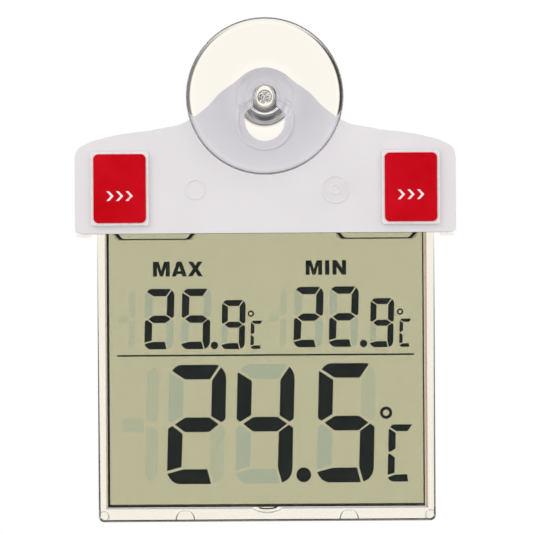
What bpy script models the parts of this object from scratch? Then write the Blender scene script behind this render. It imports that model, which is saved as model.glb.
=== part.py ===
"""Digital maximum minimum thermometer for a window pane, as separate pieces.

The pane is the plane y = 0 and the object stands behind it, towards +Y. +X is to the right and +Z is up for
someone who reads the display through the pane. The origin is the centre of the suction cup's rim.
Every length below is in millimetres; the helpers turn it into metres when they build a mesh.
"""

import math

import bmesh
import bpy
from mathutils import Matrix, Vector

MM = 0.001

# Gaps between neighbouring pieces
GAP = 0.3
SHEET_GAP = 0.12

# Depths from the pane
HOUSING_FRONT = 5.0
PLATE = 1.8
PARTING = 12.6
HOUSING_REAR = 21.8
WALL = 1.6
PLATE_REAR = HOUSING_FRONT + PLATE
REAR_SHELL_FRONT = PARTING + GAP
REAR_WALL_INNER = HOUSING_REAR - WALL

# Housing outline, seen from the front
HALF_WIDTH = 47.6
HOUSING_BOTTOM = -34.0
FOOT_CORNER = 1.0
SHOULDER = [(HALF_WIDTH, -15.2), (46.9, -13.0), (45.2, -11.75), (41.9, -10.5), (36.1, -9.2), (28.5, -8.3)]
HUMP = [(20.8, -6.6), (15.1, -2.95), (11.3, 0.9), (7.4, 3.6), (4.0, 5.55), (0.0, 6.25)]
VALLEY = [(20.0, -9.5), (10.0, -11.7), (0.0, -12.3)]
FRONT_ROUND = 0.9
REAR_ROUND = 1.3

# Suction cup and keyhole
CUP_RADIUS = 19.6
BOSS_RADIUS = 7.0
BOSS_REAR = 4.4
NECK_HALF_WIDTH = 2.1
NECK_HALF_HEIGHT = 2.75
HEAD_RADIUS = 4.3
HEAD_FRONT = PLATE_REAR + GAP
HEAD_REAR = HEAD_FRONT + 2.4
SLOT_HALF_WIDTH = 2.9
SLOT_TOP = 3.15
KEYHOLE_RADIUS = 4.85
KEYHOLE_Z = -6.2
COLLAR_RADIUS = 7.25
COLLAR_RISE = 0.3

# Tape pads
PAD_CENTRE = (36.35, -22.75)
PAD_SIZE = (14.5, 18.5)
PAD_THICKNESS = 1.0
LINER_SIZE = (13.1, 17.2)
LINER_THICKNESS = 0.2
LINER_CORNER = 1.25

# Display frame and cell, front to rear
FRAME_HALF_WIDTH = 42.2
FRAME_BOTTOM = -106.2
FRAME_TOP = -26.5
FRAME_CORNER = 1.4
FRAME_FRONT = 7.3
FRAME_SPLIT = 9.7
FRAME_REAR = 12.4
PANE = 1.2
POCKET_HALF_WIDTH = 40.35
POCKET_BOTTOM = -103.1
CELL_HALF_WIDTH = 39.55
CELL_BOTTOM = -102.4
FRONT_GLASS_TOP = -27.5
REAR_GLASS_TOP = -31.0
FILM = 0.24
GLASS = 0.7
POST_MARK_RADIUS = 1.2
RAIL_MARK_RADIUS = 2.5
MARK_RISE = 0.3
TOP_TAB = [(17.6, -34.2), (18.0, -35.1), (18.9, -35.6), (36.8, -35.6), (37.6, -35.1), (38.0, -34.2), (37.9, -28.0),
           (17.7, -28.0)]
EAR_TOP = -34.3
EAR_BOTTOM = -34.9
ZEBRA_HALF_LENGTH = 33.0
ZEBRA_Z = (-30.3, -27.9)

# Screws and their posts
HOUSING_SCREWS = [(42.8, -17.2), (-42.8, -17.2), (43.0, -29.8), (-43.0, -29.8)]
BOARD_SCREWS = [(30.0, -16.2), (-30.0, -16.2)]
POST_RADIUS = 2.2
WELL_POST_RADIUS = 3.1
WELL_RADIUS = 2.3
WELL_FLOOR = 18.4
SCREW_HOLE = 1.3
SCREW_RADIUS = 1.0
SCREW_HEAD = 1.9
SCREW_END = 9.0
PILOT_END = 7.6
BOARD_POST_RADIUS = 2.0
BOARD_PILOT = 1.1
BOARD_PILOT_END = 8.6
BOARD_SCREW_RADIUS = 0.8
BOARD_SCREW_LENGTH = 4.6
FRAME_NOTCH = 2.5
NOTCH_FLARE = 0.25

# Board and its parts
BOARD_FRONT = 13.6
BOARD_REAR = 14.8
BOARD_HALF_WIDTH = 39.3
BOARD_BOTTOM = -32.0
BOARD_STRIP_TOP = -26.4
BOARD_LOBE_TOP = -14.6
BOARD_LOBE_INNER = 27.3

# Battery, an AAA cell lying along X
CELL_Y = 14.55
CELL_Z = -20.3
CELL_RADIUS = 5.2
CELL_LENGTH = 44.5
NUB_RADIUS = 1.9
NUB_LENGTH = 1.0
BATTERY_WALL_X = 25.6
BATTERY_WALL_REAR = 18.7

# Battery cover, sliding down along -Z
COVER_HALF_WIDTH = 26.0
COVER_TOP = -14.9
COVER_FRONT = REAR_WALL_INNER + 0.15
RAIL_HALF_WIDTH = 27.6
RAIL_INNER = 25.2
RAIL_FRONT = 19.2
RAIL_REAR = 19.9
RAIL_TOP = -16.0
COVER_FOOT = 1.4

# Buttons
BUTTON_X = 33.3
BUTTON_Z = -21.5
BUTTON_RADIUS = 3.6
BUTTON_FLANGE = 4.5
BUTTON_PROUD = 0.9
BUTTON_TRAVEL = 0.7
PLUNGER_RADIUS = 1.65
SWITCH_HALF = 3.0
SWITCH_REAR = 17.6
PLUNGER_FRONT = 16.6
PLUNGER_REAR = 18.5


def clear_scene():
    for obj in list(bpy.data.objects):
        bpy.data.objects.remove(obj, do_unlink=True)


def new_collection(name):
    collection = bpy.data.collections.new(name)
    bpy.context.scene.collection.children.link(collection)
    return collection


def make_material(name, colour, roughness, metallic=0.0, alpha=1.0):
    material = bpy.data.materials.new(name)
    material.use_nodes = True
    material.diffuse_color = (*colour, alpha)
    shader = material.node_tree.nodes["Principled BSDF"]
    shader.inputs["Base Color"].default_value = (*colour, 1.0)
    shader.inputs["Roughness"].default_value = roughness
    shader.inputs["Metallic"].default_value = metallic
    shader.inputs["Alpha"].default_value = alpha
    return material


clear_scene()
PARTS = new_collection("window_thermometer")
CUTTERS = new_collection("cutters")

WHITE = make_material("white_moulding", (0.75, 0.74, 0.75), 0.4)
CLEAR = make_material("clear_plastic", (0.95, 0.93, 0.88), 0.05, alpha=0.35)
SOFT_CLEAR = make_material("clear_vinyl", (0.9, 0.9, 0.95), 0.1, alpha=0.35)
FOAM = make_material("white_foam", (0.85, 0.83, 0.82), 0.8)
RED = make_material("red_liner", (0.63, 0.01, 0.015), 0.35)
GLASS_PLATE = make_material("display_glass", (0.85, 0.88, 0.85), 0.03, alpha=0.3)
KHAKI = make_material("khaki_film", (0.49, 0.46, 0.28), 0.3, alpha=0.6)
DARK_RUBBER = make_material("dark_rubber", (0.03, 0.03, 0.035), 0.7)
BOARD_GREEN = make_material("board_green", (0.02, 0.16, 0.06), 0.45)
STEEL = make_material("plated_steel", (0.62, 0.62, 0.63), 0.3, metallic=1.0)
CELL_WRAP = make_material("battery_wrap", (0.05, 0.12, 0.3), 0.35)
GREY_KEY = make_material("grey_key", (0.4, 0.41, 0.43), 0.5)


def add_object(name, mesh, material=None):
    """Link a finished piece, or a cutter when it has no material of its own."""
    obj = bpy.data.objects.new(name, mesh)
    if material is None:
        CUTTERS.objects.link(obj)
        obj.hide_render = True
        obj.display_type = "WIRE"
    else:
        PARTS.objects.link(obj)
        mesh.materials.clear()
        mesh.materials.append(material)
        mesh.shade_smooth()
        mesh.set_sharp_from_angle(angle=math.radians(32.0))
    return obj


def mesh_of(name, bm):
    mesh = bpy.data.meshes.new(name)
    bm.to_mesh(mesh)
    bm.free()
    return mesh


def smooth_path(points, after, steps=4):
    """Points on a smooth curve through the given ones; after guides the direction at the end."""
    before = (points[0][0], 2.0 * points[0][1] - points[1][1])
    guided = [before, *points, after]
    path = []
    for p0, p1, p2, p3 in zip(guided, guided[1:], guided[2:], guided[3:]):
        for step in range(steps):
            t = step / steps
            path.append(tuple(
                0.5 * (2 * b + (c - a) * t + (2 * a - 5 * b + 4 * c - d) * t * t + (3 * b - a - 3 * c + d) * t ** 3)
                for a, b, c, d in zip(p0, p1, p2, p3)))
    path.append(points[-1])
    return path


def arc(centre, radius, start, end, steps):
    """Points on an arc in the XZ plane, angles in degrees from +X towards +Z."""
    angles = [math.radians(start + (end - start) * i / steps) for i in range(steps + 1)]
    return [(centre[0] + radius * math.cos(a), centre[1] + radius * math.sin(a)) for a in angles]


def mirrored(half):
    """Close an outline from its right half, which runs from the bottom to the top."""
    return half + [(-x, z) for x, z in reversed(half) if abs(x) > 1e-9]


def inset(loop, distance):
    """Move every side of an anticlockwise outline inwards."""
    moved = []
    for before, here, after in zip([loop[-1]] + loop[:-1], loop, loop[1:] + loop[:1]):
        into = Vector((here[0] - before[0], here[1] - before[1])).normalized()
        out = Vector((after[0] - here[0], after[1] - here[1])).normalized()
        normal = Vector((-into.y - out.y, into.x + out.x)).normalized()
        reach = distance / max(0.3, normal.dot(Vector((-into.y, into.x))))
        moved.append((here[0] + normal.x * reach, here[1] + normal.y * reach))
    return moved


def rounded_rectangle(centre, size, corner, steps=4):
    cx, cz = centre
    hx, hz = size[0] / 2 - corner, size[1] / 2 - corner
    corners = [(hx, -hz, -90), (hx, hz, 0), (-hx, hz, 90), (-hx, -hz, 180)]
    outline = []
    for dx, dz, start in corners:
        outline += arc((cx + dx, cz + dz), corner, start, start + 90, steps)
    return outline


def housing_outline(top):
    """The housing seen from the front, with its top edge over the hump or along the valley behind it."""
    foot = arc((HALF_WIDTH - FOOT_CORNER, HOUSING_BOTTOM + FOOT_CORNER), FOOT_CORNER, -90, 0, 3)
    return upper_outline(foot, top)


def hollow_outline(bottom):
    """Inside of the housing's walls, down to z = bottom."""
    loop = inset(upper_outline([(HALF_WIDTH, HOUSING_BOTTOM)], VALLEY), WALL)
    return [(x, bottom if z < HOUSING_BOTTOM + WALL + 0.1 else z) for x, z in loop]


def upper_outline(foot, top):
    shoulder = smooth_path(SHOULDER, after=(21.0, -7.6))
    crown = smooth_path([SHOULDER[-1], *top], after=(-top[-2][0], top[-2][1]))
    return mirrored(foot + shoulder + crown[1:])


def slab(name, outline, front, rear, material=None, one_face=False, others=()):
    """A flat outline in the XZ plane, filled and extruded from y = front to y = rear.

    one_face merges each end into a single face, which edges need before they are rounded. A guide may hold
    other outlines that stay apart from the first.
    """
    curve = bpy.data.curves.new(name, "CURVE")
    curve.dimensions = "2D"
    curve.fill_mode = "BOTH"
    curve.extrude = (rear - front) / 2 * MM
    for loop in (outline, *others):
        spline = curve.splines.new("POLY")
        spline.points.add(len(loop) - 1)
        for point, (x, z) in zip(spline.points, loop):
            point.co = (x * MM, z * MM, 0.0, 1.0)
        spline.use_cyclic_u = True
    guide = bpy.data.objects.new(name + "_outline", curve)
    bpy.context.scene.collection.objects.link(guide)
    guide.matrix_world = Matrix.Translation((0, (front + rear) / 2 * MM, 0)) @ Matrix.Rotation(math.pi / 2, 4, "X")
    bpy.context.view_layer.update()
    evaluated = guide.evaluated_get(bpy.context.evaluated_depsgraph_get())
    mesh = bpy.data.meshes.new_from_object(evaluated)
    mesh.transform(guide.matrix_world)
    bm = bmesh.new()
    bm.from_mesh(mesh)
    bmesh.ops.remove_doubles(bm, verts=bm.verts, dist=1e-7)
    if one_face:
        bmesh.ops.dissolve_limit(bm, angle_limit=math.radians(0.5), verts=bm.verts, edges=bm.edges)
    bmesh.ops.recalc_face_normals(bm, faces=bm.faces)
    bm.to_mesh(mesh)
    bm.free()
    bpy.data.objects.remove(guide)
    bpy.data.curves.remove(curve)
    return add_object(name, mesh, material)


def box(name, low, high, material=None):
    size = [(b - a) * MM for a, b in zip(low, high)]
    middle = [(a + b) / 2 * MM for a, b in zip(low, high)]
    bm = bmesh.new()
    bmesh.ops.create_cube(bm, size=1.0, matrix=Matrix.Translation(middle) @ Matrix.Diagonal((*size, 1.0)))
    return add_object(name, mesh_of(name, bm), material)


def boxes(name, extents):
    """One cutter or guide made of several boxes that stay apart."""
    bm = bmesh.new()
    for low, high in extents:
        size = [(b - a) * MM for a, b in zip(low, high)]
        middle = [(a + b) / 2 * MM for a, b in zip(low, high)]
        bmesh.ops.create_cube(bm, size=1.0, matrix=Matrix.Translation(middle) @ Matrix.Diagonal((*size, 1.0)))
    return add_object(name, mesh_of(name, bm))


def rods(name, centres, radius, front, rear, material=None, segments=24):
    """Round bars along Y at each (x, z)."""
    bm = bmesh.new()
    for x, z in centres:
        place = Matrix.Translation((x * MM, (front + rear) / 2 * MM, z * MM)) @ Matrix.Rotation(math.pi / 2, 4, "X")
        bmesh.ops.create_cone(bm, cap_ends=True, segments=segments, radius1=radius * MM, radius2=radius * MM,
                              depth=(rear - front) * MM, matrix=place)
    return add_object(name, mesh_of(name, bm), material)


def turned(name, profile, place, steps, material=None):
    """A turned piece: (radius, height) points from the top of its axis, round the outside, to the bottom."""
    bm = bmesh.new()
    verts = [bm.verts.new((r * MM, 0.0, h * MM)) for r, h in profile]
    for a, b in zip(verts, verts[1:]):
        bm.edges.new((a, b))
    obj = add_object(name, mesh_of(name, bm), material)
    obj.matrix_world = place
    screw = obj.modifiers.new("turn", "SCREW")
    screw.steps = steps
    screw.render_steps = steps
    screw.use_merge_vertices = True
    screw.merge_threshold = 1e-6
    screw.use_smooth_shade = True
    return obj


def along_y(x, y, z):
    """Place a turned piece with its axis along +Y and its height 0 at (x, y, z)."""
    return Matrix.Translation((x * MM, y * MM, z * MM)) @ Matrix.Rotation(-math.pi / 2, 4, "X")


def along_x(x, y, z):
    return Matrix.Translation((x * MM, y * MM, z * MM)) @ Matrix.Rotation(math.pi / 2, 4, "Y")


def boolean(target, other, operation):
    modifier = target.modifiers.new(other.name, "BOOLEAN")
    modifier.operation = operation
    modifier.solver = "EXACT"
    modifier.object = other
    return modifier


def cut(target, cutter):
    boolean(target, cutter, "DIFFERENCE")


def join(target, guide):
    boolean(target, guide, "UNION")


def round_edges(obj, width, segments, wanted):
    """Round the edges of a plain mesh whose two ends both pass the test wanted(x, y, z), in millimetres."""
    bm = bmesh.new()
    bm.from_mesh(obj.data)
    chosen = [e for e in bm.edges if all(wanted(*(v.co / MM)) for v in e.verts) and len(e.link_faces) == 2
              and e.calc_face_angle(0.0) > math.radians(30.0)]
    bmesh.ops.bevel(bm, geom=chosen, offset=width * MM, segments=segments, profile=0.5, affect="EDGES",
                    clamp_overlap=True)
    bm.to_mesh(obj.data)
    bm.free()
    obj.data.shade_smooth()
    obj.data.set_sharp_from_angle(angle=math.radians(32.0))


def near(a, b):
    return abs(a - b) < 0.01


def build_suction_cup():
    """Clear disc with a thick boss, an oval neck through the keyhole and a mushroom head behind it."""
    disc = [(0.0, BOSS_REAR), (4.3, BOSS_REAR), (4.7, 4.25), (6.7, 2.75), (BOSS_RADIUS, 2.55), (7.5, 2.35),
            (10.5, 1.95), (15.0, 1.45), (18.75, 1.05), (CUP_RADIUS, 0.4), (19.45, 0.1), (19.0, 0.0),
            (17.5, 0.15), (13.0, 0.65), (7.0, 1.15), (0.0, 1.35)]
    cup = turned("suction_cup", disc, along_y(0, 0, 0), 48, SOFT_CLEAR)
    steps = 20
    neck = [(NECK_HALF_WIDTH * math.cos(a), NECK_HALF_HEIGHT * math.sin(a))
            for a in (math.tau * i / steps for i in range(steps))]
    join(cup, slab("cup_neck", neck, BOSS_REAR - 0.4, HEAD_FRONT + 0.5))
    height = HEAD_REAR - HEAD_FRONT
    head = [(0.0, height), (2.2, height - 0.15), (3.6, height - 0.75), (HEAD_RADIUS, height - 1.6),
            (HEAD_RADIUS, 0.25), (4.05, 0.0), (0.0, 0.0)]
    join(cup, turned("cup_head", head, along_y(0, HEAD_FRONT, 0), 32))


def keyhole_outline():
    """A slot with a round top, open at the bottom into a larger round hole."""
    half_gap = math.degrees(math.acos(SLOT_HALF_WIDTH / KEYHOLE_RADIUS))
    top = arc((0.0, SLOT_TOP - SLOT_HALF_WIDTH), SLOT_HALF_WIDTH, 0, 180, 14)
    return top + arc((0.0, KEYHOLE_Z), KEYHOLE_RADIUS, 180 - half_gap, 360 + half_gap, 30)


def build_front_housing():
    """Front shell: face plate with the hump flange and keyhole, side walls, posts and ribs."""
    shell = slab("front_housing", housing_outline(HUMP), HOUSING_FRONT, PARTING, WHITE, one_face=True)
    round_edges(shell, FRONT_ROUND, 3, lambda x, y, z: near(y, HOUSING_FRONT) and z > HOUSING_BOTTOM + 0.5)
    cut(shell, slab("front_hollow", hollow_outline(HOUSING_BOTTOM - 2.0), PLATE_REAR, PARTING + 1.0))
    valley = smooth_path([SHOULDER[-1], *VALLEY], after=(-VALLEY[-2][0], VALLEY[-2][1]))
    bay = [(x, z) for x, z in reversed(valley)] + [(SHOULDER[-1][0], 12.0)]
    bay = [(-x, z) for x, z in reversed(bay) if x > 1e-9] + bay
    cut(shell, slab("hump_bay", bay, PLATE_REAR, PARTING + 1.0))
    collar_front = HOUSING_FRONT - COLLAR_RISE
    join(shell, rods("collar", [(0.0, KEYHOLE_Z)], COLLAR_RADIUS, collar_front, HOUSING_FRONT + 0.5, segments=40))
    cut(shell, slab("keyhole", keyhole_outline(), collar_front - 1.0, PLATE_REAR + 1.0))
    join(shell, rods("front_posts", HOUSING_SCREWS, POST_RADIUS, PLATE_REAR - 0.3, PARTING))
    join(shell, rods("board_posts", BOARD_SCREWS, BOARD_POST_RADIUS, PLATE_REAR - 0.3, BOARD_FRONT - GAP,
                     segments=20))
    ribs = [((x - 0.6, PLATE_REAR - 0.3, -24.5), (x + 0.6, CELL_Y - CELL_RADIUS - GAP, -16.0)) for x in (-12.0, 12.0)]
    ribs.append(((-38.0, PLATE_REAR - 0.3, FRAME_TOP + GAP), (38.0, 9.0, FRAME_TOP + GAP + 0.9)))
    join(shell, boxes("front_ribs", ribs))
    cut(shell, rods("front_pilots", HOUSING_SCREWS, SCREW_HOLE, PILOT_END, PARTING + 1.0, segments=16))
    cut(shell, rods("board_pilots", BOARD_SCREWS, BOARD_PILOT, BOARD_PILOT_END, PARTING + 2.0, segments=14))


def build_rear_housing():
    """Rear shell: battery bay, screw wells, button holes, cover opening and vent slots."""
    shell = slab("rear_housing", housing_outline(VALLEY), REAR_SHELL_FRONT, HOUSING_REAR, WHITE, one_face=True)
    round_edges(shell, REAR_ROUND, 3, lambda x, y, z: near(y, HOUSING_REAR))
    hollow = hollow_outline(HOUSING_BOTTOM + WALL)
    cut(shell, slab("rear_hollow", hollow, REAR_SHELL_FRONT - 1.0, REAR_WALL_INNER))
    join(shell, rods("well_posts", HOUSING_SCREWS, WELL_POST_RADIUS, REAR_SHELL_FRONT, REAR_WALL_INNER + 0.4))
    walls = [((side * BATTERY_WALL_X - 0.7, REAR_SHELL_FRONT, -26.0),
              (side * BATTERY_WALL_X + 0.7, BATTERY_WALL_REAR, -9.2)) for side in (-1, 1)]
    join(shell, boxes("battery_walls", walls))
    cut(shell, rods("screw_wells", HOUSING_SCREWS, WELL_RADIUS, WELL_FLOOR, HOUSING_REAR + 1.0))
    cut(shell, rods("screw_holes", HOUSING_SCREWS, SCREW_HOLE, REAR_SHELL_FRONT - 1.0, WELL_FLOOR + 0.5, segments=16))
    opening = COVER_HALF_WIDTH + GAP
    slot = RAIL_HALF_WIDTH + GAP
    below = HOUSING_BOTTOM - 1.0
    cut(shell, box("cover_opening", (-opening, REAR_WALL_INNER - 0.4, below),
                   (opening, HOUSING_REAR + 1.0, COVER_TOP + GAP)))
    cut(shell, box("rail_opening", (-slot, RAIL_FRONT - GAP, below),
                   (slot, HOUSING_REAR + 1.0, HOUSING_BOTTOM + COVER_FOOT + GAP)))
    buttons = [(-BUTTON_X, BUTTON_Z), (BUTTON_X, BUTTON_Z)]
    cut(shell, rods("button_holes", buttons, BUTTON_RADIUS + GAP, REAR_WALL_INNER - 1.0, HOUSING_REAR + 1.0))
    vents = [((x - 0.6, 15.6, below), (x + 0.6, 19.4, HOUSING_BOTTOM + WALL + 1.0))
             for x in (-38.6, -36.4, -34.2, -32.0, -29.8)]
    cut(shell, boxes("vent_slots", vents))


def build_battery_cover():
    """Lid that slides down: outer panel, two hooked rails inside the rear wall and a foot with thumb ribs."""
    panel = box("battery_cover", (-COVER_HALF_WIDTH, COVER_FRONT, HOUSING_BOTTOM),
                (COVER_HALF_WIDTH, HOUSING_REAR, COVER_TOP), WHITE)
    round_edges(panel, REAR_ROUND, 3, lambda x, y, z: near(y, HOUSING_REAR) and near(z, HOUSING_BOTTOM))
    for side in (-1, 1):
        low, high = sorted((side * RAIL_INNER, side * (COVER_HALF_WIDTH - 0.05)))
        join(panel, box("rail_web", (low, RAIL_FRONT, HOUSING_BOTTOM + 0.4), (high, COVER_FRONT + 0.5, RAIL_TOP)))
        low, high = sorted((side * (RAIL_INNER + 0.02), side * RAIL_HALF_WIDTH))
        join(panel, box("rail_hook", (low, RAIL_FRONT + 0.02, HOUSING_BOTTOM + 0.3),
                        (high, RAIL_REAR, RAIL_TOP - 0.1)))
    foot_top = HOUSING_BOTTOM + COVER_FOOT
    join(panel, box("cover_foot", (-RAIL_HALF_WIDTH, RAIL_FRONT, HOUSING_BOTTOM + 0.02),
                    (RAIL_HALF_WIDTH, HOUSING_REAR - REAR_ROUND, foot_top)))
    ribs = [((-6.0, HOUSING_REAR - 0.3, z), (6.0, HOUSING_REAR + 0.35, z + 0.7))
            for z in (-29.6, -28.0, -26.4, -24.8)]
    join(panel, boxes("thumb_ribs", ribs))


def build_tape_pads():
    """Foam pads on the housing's face, each with a release liner."""
    foam_rear = HOUSING_FRONT - SHEET_GAP
    foam_front = foam_rear - PAD_THICKNESS
    liner_rear = foam_front - SHEET_GAP
    for side, name in ((-1, "left"), (1, "right")):
        centre = (side * PAD_CENTRE[0], PAD_CENTRE[1])
        foam = rounded_rectangle(centre, PAD_SIZE, 0.6)
        slab("adhesive_pad_" + name, foam, foam_front, foam_rear, FOAM)
        liner = rounded_rectangle(centre, LINER_SIZE, LINER_CORNER)
        slab("liner_" + name, liner, liner_rear - LINER_THICKNESS, liner_rear, RED)


def frame_outline():
    """Display frame seen from the front: carrier, ears under the housing and notches for the screw posts."""
    corner = (FRAME_HALF_WIDTH - FRAME_CORNER, FRAME_BOTTOM + FRAME_CORNER)
    notch_x, notch_z = HOUSING_SCREWS[2]
    inner = HALF_WIDTH - WALL - GAP
    half = arc(corner, FRAME_CORNER, -90, 0, 6)
    half += [(FRAME_HALF_WIDTH, -33.4), (43.8, -33.4), (43.8, EAR_BOTTOM)]
    half += [(46.3, EAR_BOTTOM), (47.05, -34.75), (47.4, EAR_TOP), (inner, EAR_TOP)]
    mouth = FRAME_NOTCH + NOTCH_FLARE
    half += [(inner, notch_z - mouth), *arc((notch_x, notch_z), FRAME_NOTCH, 270, 90, 10), (inner, notch_z + mouth)]
    half.append((inner, FRAME_TOP))
    return mirrored(half)


def pocket_outline():
    """Room for the cell; its floor falls slightly towards a bulge for the end seal."""
    bulge = [(3.4 * math.cos(a), POCKET_BOTTOM - 1.2 * math.sin(a))
             for a in (math.radians(90 - 15 * i) for i in range(7))]
    return mirrored(bulge + [(POCKET_HALF_WIDTH, POCKET_BOTTOM + 0.06), (POCKET_HALF_WIDTH, FRAME_TOP + 1.0)])


def build_display_frame():
    """Clear carrier in two halves, each with a pane and half of the pocket for the cell."""
    front = slab("display_frame_front", frame_outline(), FRAME_FRONT, FRAME_SPLIT, CLEAR, one_face=True)
    cut(front, slab("front_pocket", pocket_outline(), FRAME_FRONT + PANE, FRAME_SPLIT + 0.5))
    raised = []
    for side in (-1, 1):
        post = (side * (FRAME_HALF_WIDTH - FRAME_CORNER), FRAME_BOTTOM + FRAME_CORNER)
        raised.append(arc(post, POST_MARK_RADIUS, 0, 345, 23))
        raised.append(arc((side * 20.5, FRAME_BOTTOM + 0.15), RAIL_MARK_RADIUS, 0, 180, 16))
        raised.append([(side * x, z) for x, z in TOP_TAB])
    join(front, slab("raised_marks", raised[0], FRAME_FRONT - MARK_RISE, FRAME_FRONT + 0.2, others=raised[1:]))
    rear = slab("display_frame_rear", frame_outline(), FRAME_SPLIT + GAP, FRAME_REAR, CLEAR, one_face=True)
    cut(rear, slab("rear_pocket", pocket_outline(), FRAME_SPLIT - 0.5, FRAME_REAR - PANE))
    cut(rear, box("zebra_slot", (-ZEBRA_HALF_LENGTH - GAP, FRAME_SPLIT, ZEBRA_Z[0] - GAP),
                  (ZEBRA_HALF_LENGTH + GAP, FRAME_REAR + 0.5, ZEBRA_Z[1] + GAP)))


def build_display_cell():
    """Polarizer, glass, glass and polarizer between the two panes, and the strip that feeds the glass."""
    def sheet(name, front, thickness, margin, top, material):
        half = CELL_HALF_WIDTH - margin
        low = (-half, front, CELL_BOTTOM + margin)
        return box(name, low, (half, front + thickness, top), material)

    film_front = FRAME_FRONT + PANE + SHEET_GAP
    sheet("front_polarizer", film_front, FILM, 0.3, FRONT_GLASS_TOP - 0.8, KHAKI)
    glass_front = film_front + FILM + SHEET_GAP
    sheet("lcd_front_glass", glass_front, GLASS, 0.0, FRONT_GLASS_TOP, GLASS_PLATE)
    rear_glass_front = glass_front + GLASS + GAP
    sheet("lcd_rear_glass", rear_glass_front, GLASS, 0.0, REAR_GLASS_TOP, GLASS_PLATE)
    rear_film = rear_glass_front + GLASS + SHEET_GAP
    sheet("rear_polarizer", rear_film, FILM - 0.04, 0.3, REAR_GLASS_TOP - 0.5, KHAKI)
    drop_top = CELL_BOTTOM - 0.2
    drop = arc((0.0, drop_top), 2.6, 180, 360, 14)
    drop = [(x, drop_top + (z - drop_top) * 0.25) for x, z in drop]
    slab("lcd_end_seal", drop, glass_front + 0.2, rear_glass_front + GLASS - 0.2, DARK_RUBBER)
    box("zebra_connector", (-ZEBRA_HALF_LENGTH, glass_front + GLASS + GAP, ZEBRA_Z[0]),
        (ZEBRA_HALF_LENGTH, BOARD_FRONT - GAP, ZEBRA_Z[1]), DARK_RUBBER)


def build_board():
    """U-shaped board around the battery bay, with the parts that stand on it."""
    outline = mirrored([(BOARD_HALF_WIDTH, BOARD_BOTTOM), (BOARD_HALF_WIDTH, BOARD_LOBE_TOP),
                        (BOARD_LOBE_INNER, BOARD_LOBE_TOP), (BOARD_LOBE_INNER, BOARD_STRIP_TOP)])
    board = slab("circuit_board", outline, BOARD_FRONT, BOARD_REAR, BOARD_GREEN)
    cut(board, rods("board_holes", BOARD_SCREWS, BOARD_PILOT, BOARD_FRONT - 1.0, BOARD_REAR + 1.0, segments=14))
    on_board = BOARD_REAR + GAP
    strip_z = (BOARD_BOTTOM + BOARD_STRIP_TOP) / 2
    dome = [(0.0, 1.1), (1.2, 1.0), (2.0, 0.65), (2.4, 0.0), (0.0, 0.0)]
    turned("chip_cap", dome, along_y(-8.0, on_board, strip_z), 20, DARK_RUBBER)
    can = [(0.0, 6.0), (0.8, 6.0), (1.0, 5.8), (1.0, 0.0), (0.0, 0.0)]
    turned("crystal", can, along_x(6.0, on_board + 1.0, strip_z), 14, STEEL)
    tall = [(0.0, 4.2), (1.6, 4.2), (2.0, 3.9), (2.0, 0.0), (0.0, 0.0)]
    turned("capacitor", tall, along_y(-1.0, on_board, strip_z), 16, GREY_KEY)
    leads = rods("thermistor", [(-34.8, -30.2)], 0.25, on_board, on_board + 2.0, DARK_RUBBER, segments=8)
    bead = [(0.0, 1.3), (0.75, 1.1), (1.15, 0.45), (1.15, -0.45), (0.75, -1.1), (0.0, -1.3)]
    join(leads, turned("thermistor_bead", bead, along_y(-34.8, on_board + 2.2, -30.2), 12))


def build_battery():
    """AAA cell along X with its contacts."""
    half = CELL_LENGTH / 2
    body = CELL_LENGTH - NUB_LENGTH
    cell = [(0.0, CELL_LENGTH), (NUB_RADIUS - 0.2, CELL_LENGTH), (NUB_RADIUS, CELL_LENGTH - 0.2), (NUB_RADIUS, body),
            (CELL_RADIUS - 0.5, body), (CELL_RADIUS, body - 0.5), (CELL_RADIUS, 0.5), (CELL_RADIUS - 0.5, 0.0),
            (0.0, 0.0)]
    turned("battery", cell, along_x(-half, CELL_Y, CELL_Z), 32, CELL_WRAP)
    tab_z = (CELL_Z - 1.2, CELL_Z + 1.2)
    for side, name in ((-1, "negative_contact"), (1, "positive_contact")):
        inner, outer = side * (24.3 if side < 0 else 22.9), side * 24.6
        low, high = sorted((inner, outer))
        plate = box(name, (low, 10.6, CELL_Z - 4.0), (high, 18.4, CELL_Z + 4.0), STEEL)
        low, high = sorted((side * 24.4, side * 28.4))
        join(plate, box(name + "_tab", (low, 12.2, tab_z[0]), (high, 12.5, tab_z[1])))
        low, high = sorted((side * 27.9, side * 28.3))
        join(plate, box(name + "_pin", (low, 12.3, CELL_Z - 0.6), (high, BOARD_FRONT - GAP, CELL_Z + 0.6)))
    build_spring()


def build_spring():
    """Conical coil between the negative contact and the cell."""
    turns, steps_per_turn = 2.5, 14
    count = int(turns * steps_per_turn)
    start, end = -24.3 + GAP + 0.25, -CELL_LENGTH / 2 - GAP - 0.25
    curve = bpy.data.curves.new("negative_spring", "CURVE")
    curve.dimensions = "3D"
    curve.bevel_depth = 0.2 * MM
    curve.bevel_resolution = 1
    curve.use_fill_caps = True
    spline = curve.splines.new("POLY")
    spline.points.add(count)
    for i, point in enumerate(spline.points):
        share = i / count
        radius = 3.6 - 1.6 * share
        angle = math.tau * turns * share
        x = start + (end - start) * share
        point.co = (x * MM, (CELL_Y + radius * math.cos(angle)) * MM, (CELL_Z + radius * math.sin(angle)) * MM, 1.0)
    guide = bpy.data.objects.new("spring_path", curve)
    bpy.context.scene.collection.objects.link(guide)
    bpy.context.view_layer.update()
    mesh = bpy.data.meshes.new_from_object(guide.evaluated_get(bpy.context.evaluated_depsgraph_get()))
    bm = bmesh.new()
    bm.from_mesh(mesh)
    bmesh.ops.remove_doubles(bm, verts=bm.verts, dist=1e-7)
    bm.to_mesh(mesh)
    bm.free()
    bpy.data.objects.remove(guide)
    add_object("negative_spring", mesh, STEEL)


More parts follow.
